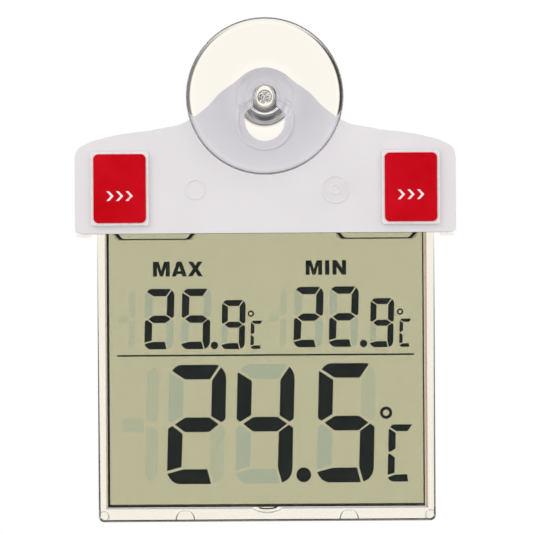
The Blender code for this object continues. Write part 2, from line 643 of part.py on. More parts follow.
def build_buttons():
    """Two push buttons in the rear wall, each over a switch on the board."""
    inner = PLUNGER_REAR + GAP
    flange = (REAR_WALL_INNER - GAP - 0.9, REAR_WALL_INNER - GAP)
    top = HOUSING_REAR + BUTTON_PROUD
    cap = [(0.0, top), (BUTTON_RADIUS - 0.6, top), (BUTTON_RADIUS - 0.15, top - 0.18), (BUTTON_RADIUS, top - 0.6),
           (BUTTON_RADIUS, flange[1]), (BUTTON_FLANGE, flange[1]), (BUTTON_FLANGE, flange[0]), (2.0, flange[0]),
           (2.0, inner), (0.0, inner)]
    plunger = [(0.0, PLUNGER_REAR), (PLUNGER_RADIUS - 0.2, PLUNGER_REAR), (PLUNGER_RADIUS, PLUNGER_REAR - 0.2),
               (PLUNGER_RADIUS, PLUNGER_FRONT), (0.0, PLUNGER_FRONT)]
    for side, name in ((-1, "reset"), (1, "unit")):
        x = side * BUTTON_X
        turned(name + "_button", cap, along_y(x, 0, BUTTON_Z), 32, GREY_KEY)
        turned(name + "_plunger", plunger, along_y(x, 0, BUTTON_Z), 16, DARK_RUBBER)
        low = (x - SWITCH_HALF, BOARD_REAR + GAP, BUTTON_Z - SWITCH_HALF)
        switch = box(name + "_switch", low, (x + SWITCH_HALF, SWITCH_REAR, BUTTON_Z + SWITCH_HALF), GREY_KEY)
        socket = PLUNGER_FRONT - BUTTON_TRAVEL - 0.2
        cut(switch, rods(name + "_socket", [(x, BUTTON_Z)], PLUNGER_RADIUS + GAP, socket, SWITCH_REAR + 1.0,
                         segments=16))


def build_screws():
    """Self-tapping screws, drawn without threads."""
    head = [(0.0, 1.3), (1.0, 1.25), (1.6, 0.95), (SCREW_HEAD, 0.4), (SCREW_HEAD, 0.0)]
    shank_end = SCREW_END - (WELL_FLOOR + GAP)
    long_screw = head + [(SCREW_RADIUS, 0.0), (SCREW_RADIUS, shank_end + 1.0), (0.3, shank_end), (0.0, shank_end)]
    for index, (x, z) in enumerate(HOUSING_SCREWS, start=1):
        screw = turned(f"housing_screw_{index}", long_screw, along_y(x, WELL_FLOOR + GAP, z), 16, STEEL)
        cross_slot(screw, x, z, WELL_FLOOR + GAP + 1.3)
    small_head = [(0.0, 1.0), (1.2, 0.85), (1.6, 0.35), (1.6, 0.0)]
    short_screw = small_head + [(BOARD_SCREW_RADIUS, 0.0), (BOARD_SCREW_RADIUS, 0.8 - BOARD_SCREW_LENGTH),
                                (0.2, -BOARD_SCREW_LENGTH), (0.0, -BOARD_SCREW_LENGTH)]
    for index, (x, z) in enumerate(BOARD_SCREWS, start=1):
        screw = turned(f"board_screw_{index}", short_screw, along_y(x, BOARD_REAR + GAP, z), 14, STEEL)
        cross_slot(screw, x, z, BOARD_REAR + GAP + 1.0)


def cross_slot(screw, x, z, top):
    """A cross recess in a screw head."""
    for half_x, half_z in ((0.9, 0.22), (0.22, 0.9)):
        low = (x - half_x, top - 0.55, z - half_z)
        cut(screw, box(screw.name + "_recess", low, (x + half_x, top + 0.5, z + half_z)))


build_suction_cup()
build_front_housing()
build_rear_housing()
build_battery_cover()
build_tape_pads()
build_display_frame()
build_display_cell()
build_board()
build_battery()
build_buttons()
build_screws()
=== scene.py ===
"""Looks for the window thermometer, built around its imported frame.

The pane of the window is the plane y = 0 and the object stands behind it, towards +Y. Lengths are in
millimetres and the helpers turn them into metres. An outline is a list of (x, z) points, anticlockwise.
"""

import math

import bmesh
import bpy
from mathutils import Matrix, Vector, noise


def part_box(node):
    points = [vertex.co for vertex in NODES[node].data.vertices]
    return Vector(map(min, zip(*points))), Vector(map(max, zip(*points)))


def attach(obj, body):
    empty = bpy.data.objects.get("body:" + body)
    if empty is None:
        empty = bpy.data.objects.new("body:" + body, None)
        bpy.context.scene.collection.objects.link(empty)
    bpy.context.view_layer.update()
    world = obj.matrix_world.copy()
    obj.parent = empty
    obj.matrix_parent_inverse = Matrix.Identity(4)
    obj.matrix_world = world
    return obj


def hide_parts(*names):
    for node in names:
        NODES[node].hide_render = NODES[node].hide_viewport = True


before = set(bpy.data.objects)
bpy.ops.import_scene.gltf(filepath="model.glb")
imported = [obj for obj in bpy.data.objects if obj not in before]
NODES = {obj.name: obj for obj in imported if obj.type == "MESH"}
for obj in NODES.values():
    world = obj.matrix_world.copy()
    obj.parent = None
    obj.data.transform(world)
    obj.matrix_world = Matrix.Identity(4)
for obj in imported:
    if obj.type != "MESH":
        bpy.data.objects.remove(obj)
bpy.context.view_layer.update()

MM = 0.001

# Depths from the pane, as in the CAD model
HOUSING_FRONT, PLATE_REAR, PARTING, REAR_SHELL_FRONT, HOUSING_REAR = 5.0, 6.8, 12.6, 12.9, 21.8
WALL = 1.6
CELL_GAP = (9.68, 9.98)

# Outline of the housing, seen from the front
HALF_WIDTH, HOUSING_BOTTOM, FOOT_CORNER = 47.6, -34.0, 1.0
SHOULDER = [(HALF_WIDTH, -15.2), (46.9, -13.0), (45.2, -11.75), (41.9, -10.5), (36.1, -9.2), (28.5, -8.3)]
HUMP = [(20.8, -6.6), (15.1, -2.95), (11.3, 0.9), (7.4, 3.6), (4.0, 5.55), (0.0, 6.25)]
VALLEY = [(20.0, -9.5), (10.0, -11.7), (0.0, -12.3)]
SLOT_HALF_WIDTH, SLOT_TOP, KEYHOLE_RADIUS, KEYHOLE_Z = 2.9, 3.15, 4.85, -6.2
SCREWS = [(42.8, -17.2), (-42.8, -17.2), (43.0, -29.8), (-43.0, -29.8)]
BUTTON_X, BUTTON_Z = 33.3, -21.5
VENTS_X = (-38.6, -36.4, -34.2, -32.0, -29.8)
COVER_HALF_WIDTH, COVER_TOP, RAIL_HALF_WIDTH = 26.0, -14.9, 27.6


# ---------------------------------------------------------------------------------------------- outlines
def smooth_path(points, after=None, steps=8):
    """Points on a smooth curve through the given ones; after guides the direction at the end."""
    before = (points[0][0], 2.0 * points[0][1] - points[1][1])
    guided = [before, *points, after or points[-1]]
    path = []
    for p0, p1, p2, p3 in zip(guided, guided[1:], guided[2:], guided[3:]):
        for step in range(steps):
            t = step / steps
            path.append(tuple(
                0.5 * (2 * b + (c - a) * t + (2 * a - 5 * b + 4 * c - d) * t * t
                       + (3 * b - a - 3 * c + d) * t ** 3)
                for a, b, c, d in zip(p0, p1, p2, p3)))
    path.append(points[-1])
    return path


def arc(centre, radius, start, end, steps):
    """Points on an arc in the XZ plane, angles in degrees from +X towards +Z."""
    angles = [math.radians(start + (end - start) * i / steps) for i in range(steps + 1)]
    return [(centre[0] + radius * math.cos(a), centre[1] + radius * math.sin(a)) for a in angles]


def mirrored(half):
    """Close an outline from its right half, which runs from the bottom to the top."""
    return half + [(-x, z) for x, z in reversed(half) if abs(x) > 1e-9]


def inset(loop, distance):
    """Move every side of an anticlockwise outline inwards."""
    moved = []
    for before, here, after in zip([loop[-1]] + loop[:-1], loop, loop[1:] + loop[:1]):
        into = Vector((here[0] - before[0], here[1] - before[1])).normalized()
        out = Vector((after[0] - here[0], after[1] - here[1])).normalized()
        normal = Vector((-into.y - out.y, into.x + out.x)).normalized()
        reach = distance / max(0.3, normal.dot(Vector((-into.y, into.x))))
        moved.append((here[0] + normal.x * reach, here[1] + normal.y * reach))
    return moved


def rounded_rectangle(centre, size, corner, steps=8):
    cx, cz = centre
    hx, hz = size[0] / 2 - corner, size[1] / 2 - corner
    outline = []
    for dx, dz, start in [(hx, -hz, -90), (hx, hz, 0), (-hx, hz, 90), (-hx, -hz, 180)]:
        outline += arc((cx + dx, cz + dz), corner, start, start + 90, steps)
    return outline


def upper_outline(foot, top):
    shoulder = smooth_path(SHOULDER, after=(21.0, -7.6))
    crown = smooth_path([SHOULDER[-1], *top], after=(-top[-2][0], top[-2][1]))
    return mirrored(foot + shoulder + crown[1:])


def housing_outline(top):
    foot = arc((HALF_WIDTH - FOOT_CORNER, HOUSING_BOTTOM + FOOT_CORNER), FOOT_CORNER, -90, 0, 6)
    return upper_outline(foot, top)


def hollow_outline(bottom):
    loop = inset(upper_outline([(HALF_WIDTH, HOUSING_BOTTOM)], VALLEY), WALL)
    return [(x, bottom if z < HOUSING_BOTTOM + WALL + 0.1 else z) for x, z in loop]


def keyhole_outline(grow=0.0):
    half = SLOT_HALF_WIDTH + grow
    radius = KEYHOLE_RADIUS + grow
    half_gap = math.degrees(math.acos(half / radius))
    top = arc((0.0, SLOT_TOP - SLOT_HALF_WIDTH), half, 0, 180, 28)
    return top + arc((0.0, KEYHOLE_Z), radius, 180 - half_gap, 360 + half_gap, 64)


# ------------------------------------------------------------------------------------------------ meshes
UPRIGHT = Matrix.Rotation(math.pi / 2, 4, "X")


def add(name, mesh, material, body=None, stands_for=(), sharp=30.0):
    """Link a finished piece, shade it, and say what it rides on and which CAD nodes it stands for."""
    obj = bpy.data.objects.new(name, mesh)
    bpy.context.scene.collection.objects.link(obj)
    if material:
        mesh.materials.append(material)
    mesh.shade_smooth()
    mesh.set_sharp_from_angle(angle=math.radians(sharp))
    if body:
        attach(obj, body)
    if stands_for:
        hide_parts(*stands_for)
    return obj


def mesh_of(name, bm):
    mesh = bpy.data.meshes.new(name)
    bm.to_mesh(mesh)
    bm.free()
    return mesh


def slab_mesh(name, loops, front, rear):
    """Closed flat solid between y = front and y = rear; loops inside others are holes."""
    curve = bpy.data.curves.new(name, "CURVE")
    curve.dimensions = "2D"
    curve.fill_mode = "BOTH"
    curve.extrude = (rear - front) / 2 * MM
    for loop in loops:
        spline = curve.splines.new("POLY")
        spline.points.add(len(loop) - 1)
        for point, (x, z) in zip(spline.points, loop):
            point.co = (x * MM, z * MM, 0.0, 1.0)
        spline.use_cyclic_u = True
    guide = bpy.data.objects.new(name + "_outline", curve)
    bpy.context.scene.collection.objects.link(guide)
    guide.matrix_world = Matrix.Translation((0, (front + rear) / 2 * MM, 0)) @ UPRIGHT
    bpy.context.view_layer.update()
    mesh = bpy.data.meshes.new_from_object(guide.evaluated_get(bpy.context.evaluated_depsgraph_get()))
    mesh.transform(guide.matrix_world)
    bm = bmesh.new()
    bm.from_mesh(mesh)
    bmesh.ops.remove_doubles(bm, verts=bm.verts, dist=1e-7)
    bmesh.ops.dissolve_limit(bm, angle_limit=math.radians(0.3), verts=bm.verts, edges=bm.edges)
    bmesh.ops.recalc_face_normals(bm, faces=bm.faces)
    bpy.data.objects.remove(guide)
    bpy.data.curves.remove(curve)
    bpy.data.meshes.remove(mesh)
    return mesh_of(name, bm)


def box_mesh(name, extents):
    bm = bmesh.new()
    for low, high in extents:
        size = [(b - a) * MM for a, b in zip(low, high)]
        middle = [(a + b) / 2 * MM for a, b in zip(low, high)]
        bmesh.ops.create_cube(bm, size=1.0, matrix=Matrix.Translation(middle) @ Matrix.Diagonal((*size, 1.0)))
    return mesh_of(name, bm)


def rod_mesh(name, centres, radius, front, rear, segments=48):
    bm = bmesh.new()
    for x, z in centres:
        place = Matrix.Translation((x * MM, (front + rear) / 2 * MM, z * MM)) @ UPRIGHT
        bmesh.ops.create_cone(bm, cap_ends=True, segments=segments, radius1=radius * MM, radius2=radius * MM,
                              depth=(rear - front) * MM, matrix=place)
    return mesh_of(name, bm)


def loft_mesh(name, rings, segments=96, centre=(0.0, 0.0), bumps=None):
    """Closed skin over oval rings (half width, half height, y) about an axis along Y, pointed at its ends."""
    bm = bmesh.new()
    rows = []
    for rx, rz, y in rings:
        row = []
        for i in range(segments if rx > 1e-6 else 1):
            a = math.tau * i / segments
            point = Vector((centre[0] + rx * math.cos(a), y, centre[1] + rz * math.sin(a)))
            if bumps:
                point = bumps(point)
            row.append(bm.verts.new(point * MM))
        rows.append(row)
    for one, two in zip(rows, rows[1:]):
        for i in range(segments):
            j = (i + 1) % segments
            corners = [one[i % len(one)], one[j % len(one)], two[j % len(two)], two[i % len(two)]]
            corners = [c for n, c in enumerate(corners) if c not in corners[:n]]
            bm.faces.new(corners)
    bmesh.ops.recalc_face_normals(bm, faces=bm.faces)
    return mesh_of(name, bm)


def bevel(mesh, width, segments, wanted, angle=30.0):
    """Round the edges whose two ends both pass the test wanted(x, y, z), in millimetres."""
    bm = bmesh.new()
    bm.from_mesh(mesh)
    chosen = [e for e in bm.edges if all(wanted(*(v.co / MM)) for v in e.verts) and len(e.link_faces) == 2
              and e.calc_face_angle(0.0) > math.radians(angle)]
    bmesh.ops.bevel(bm, geom=chosen, offset=width * MM, segments=segments, profile=0.5, affect="EDGES",
                    clamp_overlap=True)
    bm.to_mesh(mesh)
    bm.free()
    return mesh


def combine(target, other, operation="DIFFERENCE"):
    """Boolean of two meshes, which are both used up; slivers are cleaned away so that it can be cut again."""
    a = bpy.data.objects.new("target", target)
    b = bpy.data.objects.new("tool", other)
    for obj in (a, b):
        bpy.context.scene.collection.objects.link(obj)
    modifier = a.modifiers.new("join", "BOOLEAN")
    modifier.operation = operation
    modifier.solver = "EXACT"
    modifier.object = b
    bpy.context.view_layer.update()
    mesh = bpy.data.meshes.new_from_object(a.evaluated_get(bpy.context.evaluated_depsgraph_get()))
    mesh.name = target.name
    bm = bmesh.new()
    bm.from_mesh(mesh)
    bmesh.ops.remove_doubles(bm, verts=bm.verts, dist=2e-6)
    bmesh.ops.dissolve_degenerate(bm, dist=1e-6, edges=bm.edges)
    bm.to_mesh(mesh)
    bm.free()
    for obj in (a, b):
        bpy.data.objects.remove(obj)
    bpy.data.meshes.remove(other)
    bpy.data.meshes.remove(target)
    return mesh


def even_shading(obj):
    """Keep flat faces flat where they meet rounded edges."""
    modifier = obj.modifiers.new("even_shading", "WEIGHTED_NORMAL")
    modifier.keep_sharp = True
    modifier.weight = 80
    return obj


def near(a, b, slack=0.01):
    return abs(a - b) < slack


# --------------------------------------------------------------------------------------------- materials
def new_material(name, colour, roughness, **sockets):
    """A Principled material; sockets are plain values on the shader, by name with _ for a space."""
    material = bpy.data.materials.new(name)
    material.use_nodes = True
    shader = material.node_tree.nodes["Principled BSDF"]
    shader.inputs["Base Color"].default_value = (*colour, 1.0)
    shader.inputs["Roughness"].default_value = roughness
    for key, value in sockets.items():
        shader.inputs[key.replace("_", " ")].default_value = value
    return material


def node(material, kind, **values):
    made = material.node_tree.nodes.new(kind)
    for key, value in values.items():
        if hasattr(made, key):
            setattr(made, key, value)
        else:
            made.inputs[key.replace("_", " ")].default_value = value
    return made


def link(material, out, into):
    material.node_tree.links.new(out, into)


def noise_of(material, scale, detail=4.0, roughness=0.55, stretch=(1.0, 1.0, 1.0)):
    """Noise over the piece's own coordinates, which are metres in the object's frame."""
    where = node(material, "ShaderNodeTexCoord")
    mapping = node(material, "ShaderNodeMapping")
    mapping.inputs["Scale"].default_value = stretch
    texture = node(material, "ShaderNodeTexNoise", Scale=scale, Detail=detail, Roughness=roughness)
    link(material, where.outputs["Object"], mapping.inputs["Vector"])
    link(material, mapping.outputs["Vector"], texture.inputs["Vector"])
    return texture.outputs["Fac"]


def vary(material, socket, field, low, high, spread=(0.3, 0.7)):
    """Drive a colour or number of the shader from a noise field."""
    shader = material.node_tree.nodes["Principled BSDF"]
    if isinstance(low, tuple):
        ramp = node(material, "ShaderNodeValToRGB")
        ramp.color_ramp.elements[0].position, ramp.color_ramp.elements[1].position = spread
        ramp.color_ramp.elements[0].color = (*low, 1.0)
        ramp.color_ramp.elements[1].color = (*high, 1.0)
        link(material, field, ramp.inputs["Fac"])
        link(material, ramp.outputs["Color"], shader.inputs[socket])
    else:
        span = node(material, "ShaderNodeMapRange")
        span.inputs["From Min"].default_value, span.inputs["From Max"].default_value = spread
        span.inputs["To Min"].default_value, span.inputs["To Max"].default_value = low, high
        link(material, field, span.inputs["Value"])
        link(material, span.outputs["Result"], shader.inputs[socket])


def add_bump(material, field, height, strength=1.0):
    """Bump of that height in millimetres."""
    bump = node(material, "ShaderNodeBump", Strength=strength)
    bump.inputs["Distance"].default_value = height * MM
    link(material, field, bump.inputs["Height"])
    link(material, bump.outputs["Normal"], material.node_tree.nodes["Principled BSDF"].inputs["Normal"])


def moulded(name, colour, roughness, grain=0.012, **sockets):
    """Injection-moulded plastic: slight colour drift, uneven gloss and fine grain."""
    material = new_material(name, colour, roughness, **sockets)
    darker = tuple(c * 0.965 for c in colour)
    vary(material, "Base Color", noise_of(material, 60.0, 3.0), darker, colour, (0.35, 0.6))
    vary(material, "Roughness", noise_of(material, 160.0, 5.0), roughness * 0.82, roughness * 1.2)
    add_bump(material, noise_of(material, 2600.0, 2.0), grain)
    return material


def clear_plastic(name, colour, roughness, ior):
    return new_material(name, colour, roughness, Transmission_Weight=1.0, IOR=ior)


white_shell = moulded("white_shell", (0.80, 0.79, 0.805), 0.38)
white_cover = moulded("white_cover", (0.79, 0.78, 0.79), 0.42, 0.02)
vinyl = clear_plastic("clear_vinyl", (0.978, 0.98, 1.0), 0.03, 1.52)
carrier = clear_plastic("clear_frame", (0.99, 0.987, 0.98), 0.02, 1.49)
epoxy = clear_plastic("seal_epoxy", (0.95, 0.9, 0.78), 0.05, 1.5)
bead = clear_plastic("side_bead", (0.6, 0.48, 0.35), 0.05, 1.4)
film = clear_plastic("khaki_film", (0.788, 0.795, 0.674), 0.0, 1.3)
cell_glass = new_material("display_glass", (0.75, 0.8, 0.78), 0.03, Alpha=0.03)

foam = new_material("white_foam", (0.86, 0.84, 0.835), 0.85)
vary(foam, "Base Color", noise_of(foam, 900.0, 3.0), (0.78, 0.76, 0.755), (0.88, 0.865, 0.86))
add_bump(foam, noise_of(foam, 1400.0, 5.0, 0.7), 0.12)

liner = new_material("red_liner", (0.58, 0.001, 0.008), 0.3, Specular_IOR_Level=0.06)
vary(liner, "Base Color", noise_of(liner, 120.0, 4.0), (0.54, 0.0008, 0.006), (0.61, 0.003, 0.013))
vary(liner, "Roughness", noise_of(liner, 420.0, 4.0), 0.26, 0.42)
add_bump(liner, noise_of(liner, 240.0, 2.0), 0.05)

liner_print = new_material("liner_print", (0.9, 0.72, 0.72), 0.5)
vary(liner_print, "Base Color", noise_of(liner_print, 900.0, 4.0), (0.86, 0.5, 0.5), (0.95, 0.86, 0.86),
     (0.3, 0.5))

# Dark of the lit segments, words and rule; the same material also draws the painted shade lines along the top
# tabs.
segment_ink_and_tab_shade = new_material("segment_dark", (0.006, 0.014, 0.024), 0.35)
vary(segment_ink_and_tab_shade, "Base Color", noise_of(segment_ink_and_tab_shade, 90.0, 3.0), (0.003, 0.008, 0.014),
     (0.010, 0.022, 0.036))
ghost_ink = clear_plastic("segment_unlit", (0.8, 0.895, 0.99), 0.0, 1.02)
faint_ink = clear_plastic("segment_faint", (0.9, 0.95, 0.99), 0.0, 1.02)
seal_black = new_material("edge_seal", (0.012, 0.011, 0.01), 0.5)
vary(seal_black, "Base Color", noise_of(seal_black, 300.0, 3.0), (0.006, 0.006, 0.005), (0.024, 0.02, 0.016))

rubber = new_material("dark_rubber", (0.028, 0.028, 0.032), 0.68)
vary(rubber, "Base Color", noise_of(rubber, 500.0, 4.0), (0.02, 0.02, 0.023), (0.045, 0.045, 0.05))
add_bump(rubber, noise_of(rubber, 2200.0, 3.0), 0.02)

grey_key = moulded("grey_key", (0.36, 0.37, 0.39), 0.5, 0.02)
switch_body = moulded("switch_body", (0.09, 0.09, 0.1), 0.45, 0.01)

steel = new_material("plated_steel", (0.66, 0.66, 0.67), 0.28, Metallic=1.0)
vary(steel, "Roughness", noise_of(steel, 700.0, 4.0, stretch=(1.0, 6.0, 1.0)), 0.2, 0.42)
vary(steel, "Base Color", noise_of(steel, 300.0, 4.0), (0.5, 0.5, 0.51), (0.72, 0.72, 0.72))

board = new_material("board_laminate", (0.02, 0.16, 0.06), 0.4)
vary(board, "Base Color", noise_of(board, 420.0, 1.0, stretch=(1.0, 1.0, 3.0)), (0.012, 0.12, 0.045),
     (0.03, 0.22, 0.09), (0.47, 0.5))
chip_epoxy = new_material("chip_epoxy", (0.012, 0.012, 0.013), 0.3)
add_bump(chip_epoxy, noise_of(chip_epoxy, 800.0, 3.0), 0.03)
capacitor_can = new_material("capacitor_can", (0.03, 0.03, 0.05), 0.35, Coat_Weight=0.4)
vary(capacitor_can, "Roughness", noise_of(capacitor_can, 600.0), 0.3, 0.45)


def banded_wrap():
    """Battery sleeve: plain blue and orange with a pale band between them and bare ends."""
    material = new_material("battery_wrap", (0.03, 0.09, 0.26), 0.3, Coat_Weight=0.5, Coat_Roughness=0.1)
    where = node(material, "ShaderNodeTexCoord")
    split = node(material, "ShaderNodeSeparateXYZ")
    ramp = node(material, "ShaderNodeValToRGB")
    ramp.color_ramp.interpolation = "CONSTANT"
    stops = [(0.0, (0.6, 0.6, 0.6)), (0.02, (0.03, 0.09, 0.26)), (0.72, (0.7, 0.7, 0.68)),
             (0.76, (0.5, 0.24, 0.03)), (0.975, (0.62, 0.62, 0.62))]
    ramp.color_ramp.elements[0].color = (*stops[0][1], 1.0)
    ramp.color_ramp.elements[1].position = stops[1][0]
    ramp.color_ramp.elements[1].color = (*stops[1][1], 1.0)
    for position, colour in stops[2:]:
        ramp.color_ramp.elements.new(position).color = (*colour, 1.0)
    span = node(material, "ShaderNodeMapRange")
    half_length = 22.25 * MM
    span.inputs["From Min"].default_value, span.inputs["From Max"].default_value = -half_length, half_length
    link(material, where.outputs["Object"], split.inputs["Vector"])
    link(material, split.outputs["X"], span.inputs["Value"])
    link(material, span.outputs["Result"], ramp.inputs["Fac"])
    link(material, ramp.outputs["Color"], material.node_tree.nodes["Principled BSDF"].inputs["Base Color"])
    return material


battery_wrap = banded_wrap()

CAD_LOOKS = {
    "circuit_board": board, "chip_cap": chip_epoxy, "crystal": steel, "capacitor": capacitor_can,
    "thermistor": chip_epoxy, "battery": battery_wrap, "negative_contact": steel, "positive_contact": steel,
    "negative_spring": steel, "zebra_connector": rubber, "reset_switch": switch_body,
    "unit_switch": switch_body, "reset_plunger": rubber, "unit_plunger": rubber,
}
for name, obj in NODES.items():
    look = steel if "screw" in name else CAD_LOOKS.get(name, white_shell)
    obj.data.materials.clear()
    obj.data.materials.append(look)


# ------------------------------------------------------------------------------------------- suction cup
def cup_rings():
    """Rings of the cup from the middle of its hollow front, round the rim, to the top of its head."""
    hollow = [(0.0, 1.35), (2.0, 1.34), (4.5, 1.27), (7.0, 1.15), (10.0, 0.93), (13.0, 0.66), (16.0, 0.34),
              (17.6, 0.14), (18.4, 0.05), (18.9, 0.01)]
    rim = [(19.25, 0.04), (19.46, 0.12), (19.57, 0.22), (19.6, 0.32), (19.57, 0.42), (19.45, 0.53),
           (19.2, 0.72), (18.9, 0.94), (18.7, 1.07), (18.45, 1.17), (18.1, 1.24)]
    back = [(17.4, 1.29), (16.0, 1.38), (14.0, 1.53), (12.0, 1.7), (10.0, 1.87), (8.6, 2.02), (7.7, 2.16)]
    cone = [(7.25, 2.3), (7.0, 2.45), (6.8, 2.62), (6.0, 3.25), (5.2, 3.9), (4.85, 4.15), (4.55, 4.31),
            (4.2, 4.38), (3.8, 4.4)]
    round_part = [(r, r, y) for r, y in hollow + rim + back + cone]
    neck = [(3.2, 3.75, 4.42), (2.6, 3.2, 4.5), (2.25, 2.9, 4.7), (2.1, 2.76, 5.0), (2.1, 2.75, 5.8),
            (2.12, 2.77, 6.4), (2.3, 2.9, 6.8), (2.75, 3.25, 7.02), (3.4, 3.7, 7.1)]
    head = [(3.95, 4.0, 7.14), (4.2, 4.2, 7.26), (4.3, 4.3, 7.5), (4.3, 4.3, 7.9), (4.2, 4.2, 8.2),
            (3.95, 3.95, 8.55), (3.5, 3.5, 8.9), (2.9, 2.9, 9.2), (2.3, 2.3, 9.38), (1.95, 1.95, 9.45),
            (1.75, 1.75, 9.4)]
    head += [(1.6 - 0.16 * i, 1.6 - 0.16 * i, 9.3) for i in range(10)] + [(0.0, 0.0, 9.3)]
    return round_part + neck + head


def gate_roughness(point):
    """The cut moulding gate in the middle of the head is uneven."""
    reach = math.hypot(point.x, point.z)
    if point.y > 9.25 and reach < 1.7:
        lift = noise.noise(Vector((point.x * 2.6, 3.1, point.z * 2.6))) * 0.45
        point.y += lift * min(1.0, (1.75 - reach) * 1.5) - 0.1
    return point


cup = add("suction_cup_clear", loft_mesh("suction_cup_clear", cup_rings(), 160, bumps=gate_roughness), vinyl,
          "suction_cup", ["suction_cup"], sharp=60.0)
cup.visible_shadow = False


# ---------------------------------------------------------------------------------------------- housing
def build_front_shell():
    """Face with the hump and the keyhole, hollow behind, and a post with a pilot hole for each screw."""
    shell = slab_mesh("front_shell", [housing_outline(HUMP)], HOUSING_FRONT, PARTING)
    bevel(shell, 0.9, 6, lambda x, y, z: near(y, HOUSING_FRONT) and z > HOUSING_BOTTOM + 0.5)
    bevel(shell, 0.2, 2, lambda x, y, z: near(y, HOUSING_FRONT) and z < HOUSING_BOTTOM + 0.1)
    hollow = slab_mesh("hollow", [hollow_outline(HOUSING_BOTTOM - 2.0)], PLATE_REAR, PARTING + 1.0)
    shell = combine(shell, hollow)
    valley = smooth_path([SHOULDER[-1], *VALLEY], after=(-VALLEY[-2][0], VALLEY[-2][1]))
    bay = [(x, z) for x, z in reversed(valley)] + [(SHOULDER[-1][0], 12.0)]
    bay = [(-x, z) for x, z in reversed(bay) if x > 1e-9] + bay
    shell = combine(shell, slab_mesh("hump_bay", [bay], PLATE_REAR, PARTING + 1.0))
    shell = combine(shell, slab_mesh("keyhole", [keyhole_outline()], HOUSING_FRONT - 1.0, PLATE_REAR + 1.0))
    bevel(shell, 0.25, 3, lambda x, y, z: near(y, HOUSING_FRONT) and math.hypot(x, z + 3.0) < 9.0)
    posts = rod_mesh("posts", SCREWS, 2.2, PLATE_REAR - 0.3, PARTING)
    shell = combine(shell, posts, "UNION")
    shell = combine(shell, rod_mesh("pilots", SCREWS, 1.3, 7.6, PARTING + 1.0, 32))
    shell = add("housing_front_shell", shell, white_shell, "housing", ["front_housing"])
    return even_shading(shell)


def ring_mesh(name, centre, inner, outer, rise, rounding):
    """A raised ring on the housing's face; rise is how far it stands proud."""
    loops = [arc(centre, radius, 0, 355, 71) for radius in (outer, inner)]
    mesh = slab_mesh(name, loops, HOUSING_FRONT - rise, HOUSING_FRONT + 0.15)
    return bevel(mesh, rounding, 3, lambda x, y, z: near(y, HOUSING_FRONT - rise))


build_front_shell()
collar = ring_mesh("keyhole_collar", (0.0, KEYHOLE_Z), 6.4, 7.3, 0.4, 0.3)
slot = slab_mesh("keyhole", [keyhole_outline(0.3)], HOUSING_FRONT - 1.0, HOUSING_FRONT + 1.0)
collar = combine(collar, slot)
even_shading(add("keyhole_collar", collar, white_shell, "housing"))


def moulding_marks():
    """Plain raised rings and dots on the face, of the kind a mould leaves."""
    left, right = (-17.5, -23.0), (17.5, -23.2)
    rings = [(left, 2.2, 2.65), (right, 3.1, 3.55), (right, 1.0, 1.4)]
    marks = [ring_mesh("mark", centre, inner, outer, 0.2, 0.09) for centre, inner, outer in rings]
    dots = arc(right, 2.3, 0, 330, 11)
    marks.append(rod_mesh("mark", dots + [left], 0.25, HOUSING_FRONT - 0.18, HOUSING_FRONT + 0.1, 16))
    bm = bmesh.new()
    for mark in marks:
        bm.from_mesh(mark)
    return mesh_of("moulding_marks", bm)


add("moulding_marks", moulding_marks(), white_shell, "housing")


def build_rear_shell():
    """Rear half with screw wells, the battery opening and its rails, button holes and vent slots."""
    shell = slab_mesh("rear_shell", [housing_outline(VALLEY)], REAR_SHELL_FRONT, HOUSING_REAR)
    bevel(shell, 1.3, 7, lambda x, y, z: near(y, HOUSING_REAR))
    hollow = slab_mesh("hollow", [hollow_outline(HOUSING_BOTTOM + WALL)], REAR_SHELL_FRONT - 1.0, 20.2)
    shell = combine(shell, hollow)
    shell = combine(shell, rod_mesh("wells", SCREWS, 3.1, REAR_SHELL_FRONT, 20.6), "UNION")
    walls = [((x - 0.7, REAR_SHELL_FRONT, -26.0), (x + 0.7, 18.7, -9.2)) for x in (-25.6, 25.6)]
    shell = combine(shell, box_mesh("walls", walls), "UNION")
    shell = combine(shell, rod_mesh("wells", SCREWS, 2.3, 18.4, HOUSING_REAR + 1.0))
    shell = combine(shell, rod_mesh("holes", SCREWS, 1.3, REAR_SHELL_FRONT - 1.0, 18.9, 32))
    below, beyond = HOUSING_BOTTOM - 1.0, HOUSING_REAR + 1.0
    half = COVER_HALF_WIDTH + 0.3
    shell = combine(shell, box_mesh("opening", [((-half, 19.8, below), (half, beyond, COVER_TOP + 0.3))]))
    half = RAIL_HALF_WIDTH + 0.3
    shell = combine(shell, box_mesh("rails", [((-half, 18.9, below), (half, beyond, -32.3))]))
    buttons = [(-BUTTON_X, BUTTON_Z), (BUTTON_X, BUTTON_Z)]
    shell = combine(shell, rod_mesh("buttons", buttons, 3.9, 19.2, beyond))
    bevel(shell, 0.25, 3, lambda x, y, z: near(y, HOUSING_REAR) and abs(x) < 45.5 and -33.0 < z < -12.4)
    vents = [((x - 0.6, 15.6, below), (x + 0.6, 19.4, -31.4)) for x in VENTS_X]
    shell = combine(shell, box_mesh("vents", vents))
    shell = add("housing_rear_shell", shell, white_shell, "housing", ["rear_housing"])
    return even_shading(shell)


